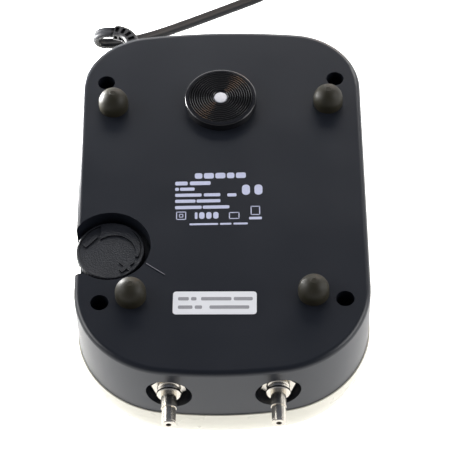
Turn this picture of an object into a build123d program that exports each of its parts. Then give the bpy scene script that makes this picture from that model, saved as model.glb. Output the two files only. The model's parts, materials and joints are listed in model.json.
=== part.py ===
from build123d import *
import math
import os

os.makedirs("parts", exist_ok=True)

# Twin-outlet aquarium air pump, lying on its domed top cover with its feet in the air.
# +Z is up, the outlets point to -Y, the power cord leaves at +Y. The origin is on the surface
# that the cover lies on, under the middle of the pump from outlet tips to rear wall.
# Places on the housing are given from the housing's own centre and are moved by spot().

# ------------------------------------------------------------------ housing
HALF_WIDTH = 52.0
HALF_LENGTH = 76.9
FRONT_BOW, FRONT_CORNER = 163.0, 35.0
REAR_BOW, REAR_CORNER = 250.0, 26.2
LIP = 0.4  # the cover stands this far outside the base
COVER_HEIGHT = 28.0
COVER_DOME = 25.0
COVER_WALL = 2.0
SEAL_INSET, SEAL_DEEP = 0.6, 0.9
BASE_HEIGHT = 26.6
BASE_WALL = 2.2
DECK = 2.4  # thickness of the base's flat underside
DECK_EDGE = 1.9

PARTING_Z = COVER_HEIGHT
DECK_Z = PARTING_Z + BASE_HEIGHT
NOZZLE_REACH = 88.0  # outlet tip, forward of the housing's centre
CENTRE_Y = (NOZZLE_REACH - HALF_LENGTH - LIP) / 2

SIDES = (("left", -1), ("right", 1))
STANDING = (Align.CENTER, Align.CENTER, Align.MIN)
HANGING = (Align.CENTER, Align.CENTER, Align.MAX)

# housing screws and rubber feet, each as (x, y)
SCREW_SPOTS = [(s * 42.8, y) for y in (-46.6, 52.5) for s in (-1, 1)]
SCREW_HOLE_R = 3.2
SCREW_BOSS_R = 4.9
SCREW_SEAT_Z = PARTING_Z + 5.0
SHANK_R = 1.45
PILOT_R = 1.5
FEET = {
    "front_left_foot": (-31.9, -44.1),
    "front_right_foot": (31.9, -44.1),
    "rear_left_foot": (-39.8, 41.2),
    "rear_right_foot": (39.8, 41.2),
}
FOOT_R, FOOT_HEIGHT, FOOT_STEM_R = 5.45, 7.7, 2.0

# intake filter
FILTER_Y = 41.9
CAP_R, CAP_HEIGHT, CAP_PLATE, CAP_HOLE_R = 13.3, 3.5, 1.3, 2.75
CAP_SKIRT_R, CAP_SKIRT_DEPTH, SKIRT_WALL = 9.2, 4.0, 1.2
CUP_R, CUP_DEPTH, CUP_WALL = 9.5, 6.5, 1.5
FELT_R, FELT_NUB_R = 7.5, 2.45

# flow dial, in a well that is open through the left wall
DIAL_AT = (-39.8, -21.8)
DIAL_R, DIAL_THICK, DIAL_DROP = 12.2, 3.2, 3.7
WELL_AT = (-39.8, -22.5)
WELL_R, WELL_DEPTH, WELL_WALL = 14.6, 7.7, 1.7
NOTCH_FLOOR_X = -50.4
NOTCH_Y = (-34.2, -15.0)
SHAFT_R = 3.0

# outlets, each in a round recess of the front wall
OUTLET_X = 18.9
OUTLET_Z = DECK_Z - 14.1
RECESS_R, RECESS_WALL = 8.0, 2.0
PANEL_FRONT, PANEL = 69.8, 2.2
THREAD_R = 4.0
BARREL_R = 2.5
AIR_BORE_R = 0.95
SPIGOT_R = 2.0

# pumping mechanism, built about one level
MECH_Z = DECK_Z - 28.0
CORE_Y = -18.3
CORE_HALF_STACK = 7.0
POLE_X = 18.0
POLE_PLATE = 5.0
AIR_GAP = 1.6
MAGNET = 4.0
ARM_INNER_X = POLE_X + AIR_GAP + MAGNET
ARM_PLATE = 2.0
ARM_X = ARM_INNER_X + ARM_PLATE / 2
PIVOT_Y = 47.0
PIN_R = 1.5
HUB_R = 4.5
CHAMBER_Y = 14.0
CHAMBER_R = 15.0
DIAPHRAGM_X = ARM_INNER_X + ARM_PLATE + 1.6
RIM_X = DIAPHRAGM_X + 3.2
VALVE_WALL_X = RIM_X + 5.1
COVER_X = VALVE_WALL_X + 1.5
PORT_Z = 4.8
LUG_X, LUG_REACH = 33.6, 18.2
BRACKET_REACH = 9.0
BRACKET_TOP_Z = MECH_Z + 10.8

# regulator board
BOARD_TOP_Z = DECK_Z - 19.0
BOARD = 1.6
BOARD_X, BOARD_Y = (-47.5, -27.5), (-38.0, -8.0)
BOARD_SCREWS = [(-44.5, -33.6), (-31.0, -11.0)]

# power cord: a flat twin cord, drawn here as a round tube of about its thickness
CORD_R = 1.6
GLAND_X, GLAND_Z = -34.5, DECK_Z - 16.0
GLAND_INNER_Y = 70.0
SLEEVE_WIDTH, SLEEVE_HEIGHT = 5.2, 3.9
ROUTE = [
    (-41.6, 91.3, 38.6),
    (-48.9, 91.9, 38.4),
    (-49.0, 92.1, 31.0),
    (-41.5, 92.6, 30.4),
    (-31.0, 97.1, 27.4),
    (-15.6, 111.4, 18.6),
    (4.8, 131.2, 7.1),
    (17.8, 142.2, 1.7),
    (29.8, 152.2, 1.6),
    (37.2, 161.2, 1.6),
]
COIL_AT = (16.0, 178.5)
COIL_R = 25.0
COIL_TURNS = 7
COIL_WIDE, COIL_HIGH, COIL_Z = 9.4, 10.2, 0.8
TIE_ANGLE, TIE, TIE_WIDE = 200.0, 0.7, 6.0
TAIL = [
    (16.0, 203.6, 8.8),
    (3.0, 204.2, 8.4),
    (-10.0, 203.4, 7.4),
    (-19.2, 200.2, 6.9),
    (-22.8, 195.8, 6.85),
]
PLUG_HEADING = 231.0  # degrees from +X, the way the pins point
PLUG_WIDE, PLUG_THICK, PLUG_LONG = 35.0, 13.7, 30.0
PLUG_SLEEVE = 12.0
PIN_SPACING, PLUG_PIN_R, PLUG_PIN_LONG = 19.0, 2.0, 19.0


def spot(x, y, z):
    """A place on the housing, in the part's own frame."""
    return (x, y + CENTRE_Y, z)


def forward(x, y, z):
    """A location on the housing whose own Z axis points to the front."""
    return Location(spot(x, y, z), (90, 0, 0))


def outward(side, x, y, z):
    """A plane across the mechanism whose normal points to that side, with +Z as its own Y axis."""
    return Plane(origin=spot(side * x, y, z), x_dir=(0, side, 0), z_dir=(side, 0, 0))


def corner_points(reach, bow, corner):
    """Where a corner arc leaves the bowed end, its middle, and where it meets the side."""
    centre_x = HALF_WIDTH - corner
    centre_y = reach - bow + math.sqrt((bow - corner) ** 2 - centre_x**2)
    start = math.atan2(centre_x, centre_y - reach + bow)
    middle = (start + math.pi / 2) / 2
    return [
        (bow * math.sin(start), reach - bow + bow * math.cos(start)),
        (centre_x + corner * math.sin(middle), centre_y + corner * math.cos(middle)),
        (HALF_WIDTH, centre_y),
    ]


def housing_outline(level, inset=0.0):
    """The housing's plan: bowed ends, close rear corners and wide front corners."""
    rear = corner_points(HALF_LENGTH, REAR_BOW, REAR_CORNER)
    front = [(x, -y) for x, y in corner_points(HALF_LENGTH, FRONT_BOW, FRONT_CORNER)]
    with BuildSketch(Plane(spot(0, 0, level))) as outline:
        with BuildLine():
            for end, reach in ((rear, HALF_LENGTH), (front, -HALF_LENGTH)):
                ThreePointArc((-end[0][0], end[0][1]), (0, reach), end[0])
            for side in (-1, 1):
                for end in (rear, front):
                    ThreePointArc(*[(side * x, y) for x, y in end])
                Line((side * HALF_WIDTH, rear[2][1]), (side * HALF_WIDTH, front[2][1]))
        make_face()
        if inset:
            offset(amount=-inset, mode=Mode.REPLACE)
    return outline.sketch


def cross_screw(length, head_r=2.8, head=2.2, shank_r=SHANK_R):
    """A pan-head screw with a cross recess, its head's seat at the origin and its head up."""
    with BuildPart() as screw:
        Cylinder(shank_r, length, align=HANGING)
        Cylinder(head_r, head, align=STANDING)
        fillet(screw.edges().sort_by(Axis.Z)[-1], head * 0.4)
        with Locations((0, 0, head)):
            Box(head_r * 1.2, head_r * 0.3, head, mode=Mode.SUBTRACT)
            Box(head_r * 0.3, head_r * 1.2, head, mode=Mode.SUBTRACT)
    return screw.part


def head_down(x, y, z):
    """A location on the housing that turns a screw over, so that its head is below."""
    return Location(spot(x, y, z), (180, 0, 0))


# ================================================================== housing shells
POST_SPOTS = (
    [(s * (POLE_X - POLE_PLATE / 2 + 0.2), CORE_Y + t * 12.0, MECH_Z + CORE_HALF_STACK, 2.6)
     for s in (-1, 1) for t in (-1, 1)]
    + [(s * LUG_X, CHAMBER_Y + t * LUG_REACH, MECH_Z + 8.0, 3.2) for s in (-1, 1) for t in (-1, 1)]
    + [(s * (ARM_X + t * BRACKET_REACH), PIVOT_Y, BRACKET_TOP_Z, 3.2) for s in (-1, 1) for t in (-1, 1)]
    + [(x, y, BOARD_TOP_Z, 2.4) for x, y in BOARD_SCREWS]
)

# The room inside the base, with every boss, post and well left standing in it.
with BuildPart() as base_room:
    extrude(housing_outline(PARTING_Z, BASE_WALL), amount=BASE_HEIGHT - DECK)
    with Locations(*[spot(x, y, DECK_Z) for x, y in SCREW_SPOTS]):
        Cylinder(SCREW_BOSS_R, BASE_HEIGHT, align=HANGING, mode=Mode.SUBTRACT)
    for x, y, foot_z, radius in POST_SPOTS:
        with Locations(spot(x, y, foot_z)):
            Cylinder(radius, DECK_Z - foot_z, align=STANDING, mode=Mode.SUBTRACT)
    with Locations(spot(*WELL_AT, DECK_Z)):
        Cylinder(WELL_R + WELL_WALL, WELL_DEPTH + WELL_WALL, align=HANGING, mode=Mode.SUBTRACT)
    with Locations(spot(NOTCH_FLOOR_X, sum(NOTCH_Y) / 2, PARTING_Z)):
        Box(2 * WELL_WALL, NOTCH_Y[1] - NOTCH_Y[0] + 2 * WELL_WALL, BASE_HEIGHT, align=STANDING,
            mode=Mode.SUBTRACT)
    with Locations(spot(0, FILTER_Y, DECK_Z)):
        Cylinder(CUP_R + CUP_WALL, CUP_DEPTH + CUP_WALL, align=HANGING, mode=Mode.SUBTRACT)
    with Locations(*[forward(s * OUTLET_X, -PANEL_FRONT + PANEL, OUTLET_Z) for s in (-1, 1)]):
        Cylinder(RECESS_R + RECESS_WALL, 10, align=STANDING, mode=Mode.SUBTRACT)
    with Locations(spot(GLAND_X, GLAND_INNER_Y, GLAND_Z)):
        Box(13, 8, 12, align=(Align.CENTER, Align.MIN, Align.CENTER), mode=Mode.SUBTRACT)

with BuildPart() as base_shell:
    extrude(housing_outline(PARTING_Z), amount=BASE_HEIGHT)
    fillet(base_shell.faces().sort_by(Axis.Z)[-1].edges(), DECK_EDGE)
    add(base_room.part, mode=Mode.SUBTRACT)
    # deep screw holes, each with a seat for the head
    with Locations(*[spot(x, y, DECK_Z) for x, y in SCREW_SPOTS]):
        Cylinder(SCREW_HOLE_R, DECK_Z - SCREW_SEAT_Z, align=HANGING, mode=Mode.SUBTRACT)
        Cylinder(PILOT_R + 0.2, BASE_HEIGHT, align=HANGING, mode=Mode.SUBTRACT)
    for x, y, foot_z, radius in POST_SPOTS:
        with Locations(spot(x, y, foot_z)):
            Cylinder(PILOT_R, 8.5, align=STANDING, mode=Mode.SUBTRACT)
    with Locations(*[spot(x, y, DECK_Z) for x, y in FEET.values()]):
        Cylinder(FOOT_STEM_R + 0.1, DECK, align=HANGING, mode=Mode.SUBTRACT)
    # intake cup with six air holes in its floor
    with Locations(spot(0, FILTER_Y, DECK_Z)):
        Cylinder(CUP_R, CUP_DEPTH, align=HANGING, mode=Mode.SUBTRACT)
        with PolarLocations(4.6, 6):
            Cylinder(1.3, CUP_DEPTH + CUP_WALL, align=HANGING, mode=Mode.SUBTRACT)
    # dial well, its floor hole for the shaft, and the notch through the left wall
    with Locations(spot(*WELL_AT, DECK_Z)):
        Cylinder(WELL_R, WELL_DEPTH, align=HANGING, mode=Mode.SUBTRACT)
    with Locations(spot(*DIAL_AT, DECK_Z)):
        Cylinder(SHAFT_R + 0.4, WELL_DEPTH + WELL_WALL, align=HANGING, mode=Mode.SUBTRACT)
    with Locations(spot(NOTCH_FLOOR_X, NOTCH_Y[0], PARTING_Z)):
        Box(5, NOTCH_Y[1] - NOTCH_Y[0], BASE_HEIGHT, align=(Align.MAX, Align.MIN, Align.MIN),
            mode=Mode.SUBTRACT)
    with Locations(spot(WELL_AT[0], NOTCH_Y[0], DECK_Z)):
        Box(16, WELL_AT[1] - NOTCH_Y[0], WELL_DEPTH, align=(Align.MAX, Align.MIN, Align.MAX),
            mode=Mode.SUBTRACT)
    # recesses and holes for the outlets
    with Locations(*[forward(s * OUTLET_X, -PANEL_FRONT, OUTLET_Z) for s in (-1, 1)]):
        Cylinder(RECESS_R, 12, align=STANDING, mode=Mode.SUBTRACT)
        Cylinder(THREAD_R + 0.1, 12, mode=Mode.SUBTRACT)
    # opening for the cord's gland, and a flat for its inner flange
    with Locations(spot(GLAND_X, GLAND_INNER_Y, GLAND_Z)):
        Box(6.8, 12, 5.4, align=(Align.CENTER, Align.MIN, Align.CENTER), mode=Mode.SUBTRACT)
        Box(10.2, 2.6, 9.0, align=(Align.CENTER, Align.MAX, Align.CENTER), mode=Mode.SUBTRACT)
    # raised index line beside the dial
    with Locations(Location(spot(-23.4, -32.9, DECK_Z), (0, 0, -37))):
        Box(8.6, 0.35, 0.2, align=STANDING)
base_shell.part.label = "base_shell"
export_step(base_shell.part, "parts/base_shell.step")

with BuildPart() as cover_room:
    extrude(housing_outline(COVER_WALL, COVER_WALL - LIP), amount=COVER_HEIGHT - COVER_WALL)
    fillet(cover_room.faces().sort_by(Axis.Z)[0].edges(), COVER_DOME - COVER_WALL)
    with Locations(*[spot(x, y, PARTING_Z) for x, y in SCREW_SPOTS]):
        Cylinder(SCREW_BOSS_R, COVER_HEIGHT, align=HANGING, mode=Mode.SUBTRACT)

# the seal lies on a step along the inner edge of the cover's rim
with BuildSketch(Plane.XY.offset(PARTING_Z)) as seal_ring:
    add(housing_outline(0, SEAL_INSET))
    add(housing_outline(0, COVER_WALL - LIP), mode=Mode.SUBTRACT)

with BuildPart() as top_cover:
    extrude(housing_outline(0, -LIP), amount=COVER_HEIGHT)
    fillet(top_cover.faces().sort_by(Axis.Z)[0].edges(), COVER_DOME)
    add(cover_room.part, mode=Mode.SUBTRACT)
    with Locations(*[spot(x, y, PARTING_Z) for x, y in SCREW_SPOTS]):
        Cylinder(PILOT_R, 12, align=HANGING, mode=Mode.SUBTRACT)
    extrude(seal_ring.sketch, amount=-SEAL_DEEP, mode=Mode.SUBTRACT)
top_cover.part.label = "top_cover"
export_step(top_cover.part, "parts/top_cover.step")

with BuildPart() as housing_seal:
    extrude(seal_ring.sketch, amount=-SEAL_DEEP)
housing_seal.part.label = "housing_seal"
export_step(housing_seal.part, "parts/housing_seal.step")

with BuildPart() as housing_screws:
    with Locations(*[spot(x, y, SCREW_SEAT_Z) for x, y in SCREW_SPOTS]):
        add(cross_screw(14.0))
housing_screws.part.label = "housing_screws"
export_step(housing_screws.part, "parts/housing_screws.step")

# Rubber foot: a short cylinder under a dome with a small flat tip, held by a waisted stem.
for name, (foot_x, foot_y) in FEET.items():
    with BuildPart() as foot:
        with BuildSketch(Plane(spot(foot_x, foot_y, DECK_Z), x_dir=(1, 0, 0), z_dir=(0, -1, 0))):
            with BuildLine():
                Polyline((0, FOOT_HEIGHT), (0, -DECK - 2.6), (1.2, -DECK - 2.6), (2.7, -DECK - 0.9),
                         (2.7, -DECK), (FOOT_STEM_R, -DECK), (FOOT_STEM_R, 0), (FOOT_R, 0),
                         (FOOT_R, 2.2))
                ThreePointArc((FOOT_R, 2.2), (FOOT_R * 0.745, 2.2 + 5.3 * 0.71), (1.2, FOOT_HEIGHT - 0.1))
                Polyline((1.2, FOOT_HEIGHT - 0.1), (1.1, FOOT_HEIGHT), (0, FOOT_HEIGHT))
            make_face()
        revolve(axis=Axis(spot(foot_x, foot_y, 0), (0, 0, 1)))
    foot.part.label = name
    export_step(foot.part, f"parts/{name}.step")

# ================================================================== intake filter
GROOVES, GROOVE_PITCH, GROOVE_WIDE, GROOVE_DEEP = 10, 0.86, 0.42, 0.5

with BuildPart() as filter_cap:
    with Locations(spot(0, FILTER_Y, DECK_Z)):
        Cylinder(CAP_R, CAP_HEIGHT, align=STANDING)
        Cylinder(CAP_SKIRT_R, CAP_SKIRT_DEPTH, align=HANGING)
        fillet(filter_cap.edges().sort_by(Axis.Z)[-1], 0.6)
        Cylinder(CAP_SKIRT_R - SKIRT_WALL, CAP_SKIRT_DEPTH, align=HANGING, mode=Mode.SUBTRACT)
        Cylinder(CAP_SKIRT_R - SKIRT_WALL, CAP_HEIGHT - CAP_PLATE, align=STANDING, mode=Mode.SUBTRACT)
        Cylinder(CAP_HOLE_R, CAP_HEIGHT, align=STANDING, mode=Mode.SUBTRACT)
    for ring in range(GROOVES):
        inner = CAP_HOLE_R + 0.7 + ring * GROOVE_PITCH
        with BuildSketch(Plane(spot(0, FILTER_Y, DECK_Z + CAP_HEIGHT))):
            Circle(inner + GROOVE_WIDE)
            Circle(inner, mode=Mode.SUBTRACT)
        extrude(amount=-GROOVE_DEEP, mode=Mode.SUBTRACT)
filter_cap.part.label = "filter_cap"
export_step(filter_cap.part, "parts/filter_cap.step")

with BuildPart() as filter_felt:
    with Locations(spot(0, FILTER_Y, DECK_Z - CUP_DEPTH)):
        Cylinder(FELT_R, CUP_DEPTH + CAP_HEIGHT - CAP_PLATE - 0.3, align=STANDING)
        # it bulges up into the cap's middle hole
        Cylinder(FELT_NUB_R, CUP_DEPTH + CAP_HEIGHT - 0.2, align=STANDING)
filter_felt.part.label = "filter_felt"
export_step(filter_felt.part, "parts/filter_felt.step")

# ================================================================== flow dial and regulator
KNURLS = 54
DIAL_FACE_Z = DECK_Z - DIAL_DROP
FACE_SUNK = 0.5
RIM_WIDE, MARK_WIDE = 0.9, 1.6

# a band that narrows towards the plus
with BuildSketch() as dial_band:
    with Locations((-0.6, 0.6)):
        Circle(11.2)
    with Locations((1.2, -1.3)):
        Circle(7.85, mode=Mode.SUBTRACT)
    with Locations((-3.7, 0)):
        Rectangle(20, 40, align=(Align.MAX, Align.CENTER), mode=Mode.SUBTRACT)
    with Locations((0, -3.0)):
        Rectangle(40, 20, align=(Align.CENTER, Align.MAX), mode=Mode.SUBTRACT)

with BuildPart() as flow_dial:
    with Locations(spot(*DIAL_AT, DIAL_FACE_Z)):
        Cylinder(DIAL_R, DIAL_THICK, align=HANGING)
    chamfer(flow_dial.edges().filter_by(GeomType.CIRCLE), 0.35)
    with Locations(spot(*DIAL_AT, DIAL_FACE_Z)):
        with PolarLocations(DIAL_R + 0.12, KNURLS):
            Cylinder(0.34, DIAL_THICK, align=HANGING, mode=Mode.SUBTRACT)
    with Locations(spot(*DIAL_AT, DIAL_FACE_Z - DIAL_THICK)):
        Cylinder(SHAFT_R + 0.02, 2.0, align=STANDING, mode=Mode.SUBTRACT)
    # the face is sunk inside the rim, and leaves a band, a minus and a plus at the rim's level
    with BuildSketch(Plane(spot(*DIAL_AT, DIAL_FACE_Z))):
        Circle(DIAL_R - RIM_WIDE)
        add(dial_band.sketch, mode=Mode.SUBTRACT)
        with Locations((-7.3, 4.1)):
            Rectangle(6.0, MARK_WIDE, rotation=46, mode=Mode.SUBTRACT)
        with Locations((5.9, -6.9)):
            Rectangle(6.0, MARK_WIDE, rotation=46, mode=Mode.SUBTRACT)
            Rectangle(MARK_WIDE, 6.0, rotation=46, mode=Mode.SUBTRACT)
    extrude(amount=-FACE_SUNK, mode=Mode.SUBTRACT)
flow_dial.part.label = "flow_dial"
export_step(flow_dial.part, "parts/flow_dial.step")

POT_R, POT_TOP_Z, BUSHING_R = 8.0, DECK_Z - 12.4, 4.4
BUSHING_TOP_Z = DECK_Z - WELL_DEPTH - WELL_WALL - 0.2

with BuildPart() as potentiometer:
    with Locations(spot(*DIAL_AT, BOARD_TOP_Z)):
        Cylinder(POT_R, POT_TOP_Z - BOARD_TOP_Z, align=STANDING)
        Cylinder(BUSHING_R, BUSHING_TOP_Z - BOARD_TOP_Z, align=STANDING)
    with Locations(spot(*DIAL_AT, BUSHING_TOP_Z)):
        Cylinder(SHAFT_R + 0.05, 5.0, align=HANGING, mode=Mode.SUBTRACT)
potentiometer.part.label = "potentiometer"
export_step(potentiometer.part, "parts/potentiometer.step")

with BuildPart() as potentiometer_shaft:
    with Locations(spot(*DIAL_AT, DIAL_FACE_Z - DIAL_THICK + 1.9)):
        Cylinder(SHAFT_R, 8.3, align=HANGING)
potentiometer_shaft.part.label = "potentiometer_shaft"
export_step(potentiometer_shaft.part, "parts/potentiometer_shaft.step")

with BuildPart() as control_board:
    with Locations(spot(sum(BOARD_X) / 2, sum(BOARD_Y) / 2, BOARD_TOP_Z)):
        Box(BOARD_X[1] - BOARD_X[0], BOARD_Y[1] - BOARD_Y[0], BOARD, align=HANGING)
    fillet(control_board.edges().filter_by(Axis.Z), 1.5)
    with Locations(*[spot(x, y, BOARD_TOP_Z) for x, y in BOARD_SCREWS]):
        Cylinder(PILOT_R, BOARD, align=HANGING, mode=Mode.SUBTRACT)
control_board.part.label = "control_board"
export_step(control_board.part, "parts/control_board.step")

with BuildPart() as board_components:
    with Locations(spot(-42.8, -10.8, BOARD_TOP_Z)):
        Box(8.4, 3.8, 6.2, align=STANDING)
    with Locations(spot(-31.2, -33.8, BOARD_TOP_Z)):
        Box(4.6, 3.4, 4.8, align=STANDING)
    with Locations(Location(spot(-36.4, -34.4, BOARD_TOP_Z + 1.3), (0, 90, 0))):
        Cylinder(1.2, 3.6)
board_components.part.label = "board_components"
export_step(board_components.part, "parts/board_components.step")

with BuildPart() as board_screws:
    with Locations(*[head_down(x, y, BOARD_TOP_Z - BOARD) for x, y in BOARD_SCREWS]):
        add(cross_screw(8.0, head_r=2.4, head=1.8))
board_screws.part.label = "board_screws"
export_step(board_screws.part, "parts/board_screws.step")

# ================================================================== rating label
with BuildPart() as rating_label:
    with BuildSketch(Plane(spot(-2.6, -47.6, DECK_Z))):
        RectangleRounded(29.2, 9.5, 1.2, rotation=-1.0)
    extrude(amount=0.12)
rating_label.part.label = "rating_label"
export_step(rating_label.part, "parts/rating_label.step")

# ================================================================== air outlets
WASHER, NUT, NUT_ACROSS = 0.8, 2.6, 12.6
THREAD_END = 75.3
THREAD_PITCH, THREAD_DEPTH = 1.0, 0.45
COLLAR_END = 76.3
BARB_AT = 82.0
TIP_FLANGE = 0.9
INNER_BARB = (57.0, 65.2)

for word, side in SIDES:
    with BuildPart() as outlet_nozzle:
        with BuildSketch(Plane(spot(side * OUTLET_X, 0, OUTLET_Z), x_dir=(0, -1, 0), z_dir=(1, 0, 0))):
            with BuildLine():
                outline = [(INNER_BARB[0], AIR_BORE_R), (INNER_BARB[0], SPIGOT_R - 0.3),
                           (INNER_BARB[0] + 1.5, SPIGOT_R), (INNER_BARB[1], SPIGOT_R),
                           (INNER_BARB[1], 5.8), (PANEL_FRONT - PANEL, 5.8),
                           (PANEL_FRONT - PANEL, THREAD_R - THREAD_DEPTH)]
                crests = int(THREAD_END - PANEL_FRONT + PANEL)
                for crest in range(crests):
                    root_at = PANEL_FRONT - PANEL + 0.2 + crest * THREAD_PITCH
                    outline += [(root_at, THREAD_R - THREAD_DEPTH),
                                (root_at + THREAD_PITCH * 0.5, THREAD_R),
                                (root_at + THREAD_PITCH * 0.65, THREAD_R)]
                outline += [(THREAD_END, THREAD_R - THREAD_DEPTH), (THREAD_END, THREAD_R + 0.2),
                            (COLLAR_END - 0.3, THREAD_R + 0.2), (COLLAR_END, THREAD_R - 0.2),
                            (COLLAR_END, BARREL_R - 0.3), (BARB_AT, BARREL_R - 0.3),
                            (BARB_AT, BARREL_R), (NOZZLE_REACH - TIP_FLANGE, BARREL_R),
                            (NOZZLE_REACH - TIP_FLANGE + 0.25, BARREL_R - 0.2),
                            (NOZZLE_REACH - 0.3, BARREL_R - 0.2), (NOZZLE_REACH, BARREL_R - 0.6),
                            (NOZZLE_REACH, AIR_BORE_R), (INNER_BARB[0], AIR_BORE_R)]
                Polyline(*outline)
            make_face()
        revolve(axis=Axis(spot(side * OUTLET_X, 0, OUTLET_Z), (0, 1, 0)))
    outlet_nozzle.part.label = f"{word}_outlet_nozzle"
    export_step(outlet_nozzle.part, f"parts/{word}_outlet_nozzle.step")

with BuildPart() as outlet_washers:
    with Locations(*[forward(s * OUTLET_X, -PANEL_FRONT, OUTLET_Z) for s in (-1, 1)]):
        Cylinder(7.0, WASHER, align=STANDING)
        Cylinder(THREAD_R + 0.1, WASHER, align=STANDING, mode=Mode.SUBTRACT)
outlet_washers.part.label = "outlet_washers"
export_step(outlet_washers.part, "parts/outlet_washers.step")

with BuildPart() as outlet_nuts:
    for side in (-1, 1):
        centre = spot(side * OUTLET_X, -PANEL_FRONT - WASHER, OUTLET_Z)
        with BuildSketch(Plane(centre, x_dir=(1, 0, 0), z_dir=(0, -1, 0))):
            RegularPolygon(NUT_ACROSS / 2, 6, rotation=15 * side)
            Circle(THREAD_R + 0.05, mode=Mode.SUBTRACT)
        extrude(amount=NUT)
outlet_nuts.part.label = "outlet_nuts"
export_step(outlet_nuts.part, "parts/outlet_nuts.step")

# ================================================================== electromagnet
POLE_HALF, BAR_HALF = 15.0, 5.0

with BuildPart() as magnet_core:
    with BuildSketch(Plane(spot(0, CORE_Y, MECH_Z - CORE_HALF_STACK))):
        Rectangle(2 * POLE_X, 2 * BAR_HALF)
        with Locations(*[(s * (POLE_X - POLE_PLATE / 2), 0) for s in (-1, 1)]):
            Rectangle(POLE_PLATE, 2 * POLE_HALF)
        with Locations(*[(s * POLE_X, t * 7.5) for s in (-1, 1) for t in (-1, 1)]):
            Rectangle(3.0, 3.0, mode=Mode.SUBTRACT)
    extrude(amount=2 * CORE_HALF_STACK)
    with Locations(*[spot(x, y, MECH_Z) for x, y, _, _ in POST_SPOTS[:4]]):
        Cylinder(PILOT_R, 2 * CORE_HALF_STACK, mode=Mode.SUBTRACT)
magnet_core.part.label = "magnet_core"
export_step(magnet_core.part, "parts/magnet_core.step")

BOBBIN_X, BOBBIN_Y, BOBBIN_HALF_Z, FLANGE = 12.6, 13.4, 14.4, 1.2
TUBE_GAP, TUBE_WALL = 0.2, 1.2
WINDING_INSET = 0.8

with BuildPart() as coil_bobbin:
    with Locations(spot(0, CORE_Y, MECH_Z)):
        Box(2 * BOBBIN_X, 2 * (BAR_HALF + TUBE_GAP + TUBE_WALL),
            2 * (CORE_HALF_STACK + TUBE_GAP + TUBE_WALL))
    with Locations(*[spot(s * (BOBBIN_X - FLANGE / 2), CORE_Y, MECH_Z) for s in (-1, 1)]):
        Box(FLANGE, 2 * BOBBIN_Y, 2 * BOBBIN_HALF_Z)
    with Locations(spot(0, CORE_Y, MECH_Z)):
        Box(2 * BOBBIN_X, 2 * (BAR_HALF + TUBE_GAP), 2 * (CORE_HALF_STACK + TUBE_GAP), mode=Mode.SUBTRACT)
coil_bobbin.part.label = "coil_bobbin"
export_step(coil_bobbin.part, "parts/coil_bobbin.step")

with BuildPart() as coil_winding:
    with BuildSketch(Plane(spot(-BOBBIN_X + FLANGE, CORE_Y, MECH_Z), x_dir=(0, 1, 0), z_dir=(1, 0, 0))):
        RectangleRounded(2 * (BOBBIN_Y - WINDING_INSET), 2 * (BOBBIN_HALF_Z - WINDING_INSET), 3.0)
        Rectangle(2 * (BAR_HALF + TUBE_GAP + TUBE_WALL), 2 * (CORE_HALF_STACK + TUBE_GAP + TUBE_WALL),
                  mode=Mode.SUBTRACT)
    extrude(amount=2 * (BOBBIN_X - FLANGE))
coil_winding.part.label = "coil_winding"
export_step(coil_winding.part, "parts/coil_winding.step")

with BuildPart() as core_screws:
    with Locations(*[head_down(x, y, MECH_Z - CORE_HALF_STACK) for x, y, _, _ in POST_SPOTS[:4]]):
        add(cross_screw(2 * CORE_HALF_STACK + 8.0, head_r=2.6))
core_screws.part.label = "core_screws"
export_step(core_screws.part, "parts/core_screws.step")

# ================================================================== swing arms
ARM_TIP_Y = CORE_Y - 14.0
WASHER_R, CLAMP_R = 6.0, 6.0
SCREW_HEAD = 1.8

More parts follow.
